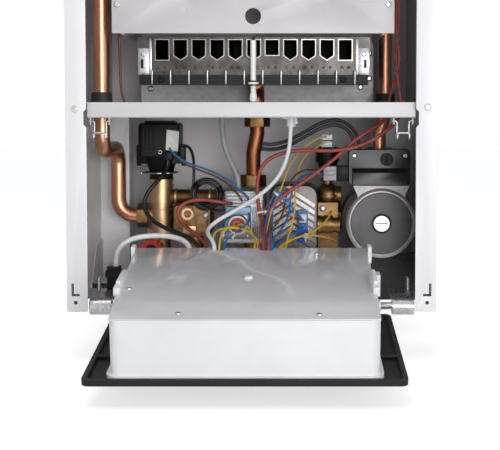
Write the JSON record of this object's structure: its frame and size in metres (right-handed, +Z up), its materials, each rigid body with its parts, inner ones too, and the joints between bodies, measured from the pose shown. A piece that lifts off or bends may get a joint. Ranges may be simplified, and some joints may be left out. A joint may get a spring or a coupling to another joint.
{
  "type": "gas boiler",
  "caption": "Wall-hung gas boiler with its covers off: burner and chamber above a shelf, pump, valves, pipes and leads below, and a control box swung down on its hinge.",
  "frame": {"origin": "on the wall plane, midway across the casing, level with the lower edge of the side flanges", "axes": "+Y into the wall, +Z up, +X to the right as seen from the room"},
  "size_m": [0.4, 0.4752, 0.7831],
  "materials": {
    "white_paint": "satin white enamel",
    "grey_paint": "light grey heat paint",
    "zinc": "galvanised",
    "dark_steel": "dark, soot grey",
    "red_paint": "red enamel",
    "copper": "bright copper tube",
    "brass": "cast, satin",
    "aluminium": "cast, satin",
    "chrome": "bright",
    "plate_steel": "brazed stainless",
    "pump_iron": "dark painted",
    "black_plastic": "matte",
    "white_plastic": "matte",
    "lid_plastic": "glossy light grey",
    "red_plastic": "matte",
    "blue_plastic": "matte",
    "grey_plastic": "matte",
    "ceramic": "glazed",
    "board": "green laminate",
    "grommet_rubber": "matte",
    "red_lead": "silicone",
    "white_lead": "silicone",
    "black_lead": "pvc",
    "grey_lead": "pvc",
    "blue_lead": "pvc"
  },
  "bodies": {
    "boiler": {"left_side_panel": "white_paint", "right_side_panel": "white_paint", "back_panel": "zinc", "top_panel": "white_paint", "chamber_shelf": "white_paint", "combustion_chamber": "zinc", "chamber_front_panel": "grey_paint", "burner_plate": "zinc", "burner_blades": "dark_steel", "burner_rail": "dark_steel", "electrode": "ceramic", "heat_exchanger": "copper", "flue_hood": "zinc", "fan_housing": "aluminium", "flue_outlet": "aluminium", "expansion_vessel": "red_paint", "pressure_switch": "grey_plastic", "flow_pipe": "copper", "return_pipe": "copper", "gas_pipe": "copper", "pipe_nuts": "brass", "pipe_grommets": "grommet_rubber", "diverter_body": "brass", "diverter_motor": "black_plastic", "brass_manifold": "brass", "relief_valve": "brass", "gas_valve": "aluminium", "plate_exchanger": "plate_steel", "flow_sensor": "blue_plastic", "return_manifold": "brass", "air_vent": "black_plastic", "pump_body": "pump_iron", "pump_motor": "aluminium", "pump_terminal_box": "black_plastic", "lead_connectors": "grey_plastic", "pipe_tails": "brass", "pipe_bracket": "zinc", "hinge_brackets": "zinc", "cable_clamp": "white_plastic", "mains_cable": "white_lead", "motor_cable": "black_lead", "coil_lead": "black_lead", "red_leads": "red_lead", "ignition_lead": "white_lead", "grey_hose": "grey_lead", "dark_hoses": "black_lead", "harness_leads": "blue_lead"},
    "control_box": {"box_body": "white_plastic", "box_lid": "lid_plastic", "fascia": "black_plastic", "circuit_board": "board"},
    "left_latch": {"left_latch": "zinc"},
    "right_latch": {"right_latch": "zinc"},
    "vent_screw": {"pump_vent_screw": "chrome"},
    "relief_cap": {"relief_cap": "red_plastic"},
    "fan_impeller": {"fan_impeller": "zinc"},
    "heating_knob": {"heating_knob": "black_plastic"},
    "water_knob": {"water_knob": "black_plastic"},
    "reset_button": {"reset_button": "grey_plastic"}
  },
  "joints": [
    {"name": "box_hinge", "type": "hinge", "parent": "boiler", "child": "control_box", "pos_m": [0, -0.286, 0.004], "axis": [-1, 0, 0], "range_deg": [0, 98], "deforming": ["mains_cable", "motor_cable", "red_leads", "ignition_lead", "harness_leads"]},
    {"name": "left_latch_pivot", "type": "hinge", "parent": "boiler", "child": "left_latch", "pos_m": [-0.165, -0.284, 0.207], "axis": [-1, 0, 0], "range_deg": [0, 60]},
    {"name": "right_latch_pivot", "type": "hinge", "parent": "boiler", "child": "right_latch", "pos_m": [0.165, -0.284, 0.207], "axis": [-1, 0, 0], "range_deg": [0, 60]},
    {"name": "vent_screw_turn", "type": "hinge", "parent": "boiler", "child": "vent_screw", "pos_m": [0.149, -0.2, 0.086], "axis": [0, -1, 0], "continuous": true},
    {"name": "relief_turn", "type": "hinge", "parent": "boiler", "child": "relief_cap", "pos_m": [-0.124, -0.178, 0.052], "axis": [0, -1, 0], "range_deg": [0, 90]},
    {"name": "fan_turn", "type": "hinge", "parent": "boiler", "child": "fan_impeller", "pos_m": [0, -0.157, 0.64], "axis": [0, -1, 0], "continuous": true},
    {"name": "heating_knob_turn", "type": "hinge", "parent": "control_box", "child": "heating_knob", "pos_m": [-0.095, -0.38322, -0.02279], "axis": [0, -0.1392, 0.9903], "range_deg": [0, 270]},
    {"name": "water_knob_turn", "type": "hinge", "parent": "control_box", "child": "water_knob", "pos_m": [0.095, -0.38322, -0.02279], "axis": [0, -0.1392, 0.9903], "range_deg": [0, 270]},
    {"name": "reset_press", "type": "slide", "parent": "control_box", "child": "reset_button", "axis": [0, -0.1392, 0.9903], "range_m": [0, 0.002], "stiffness_N_per_m": 300}
  ]
}
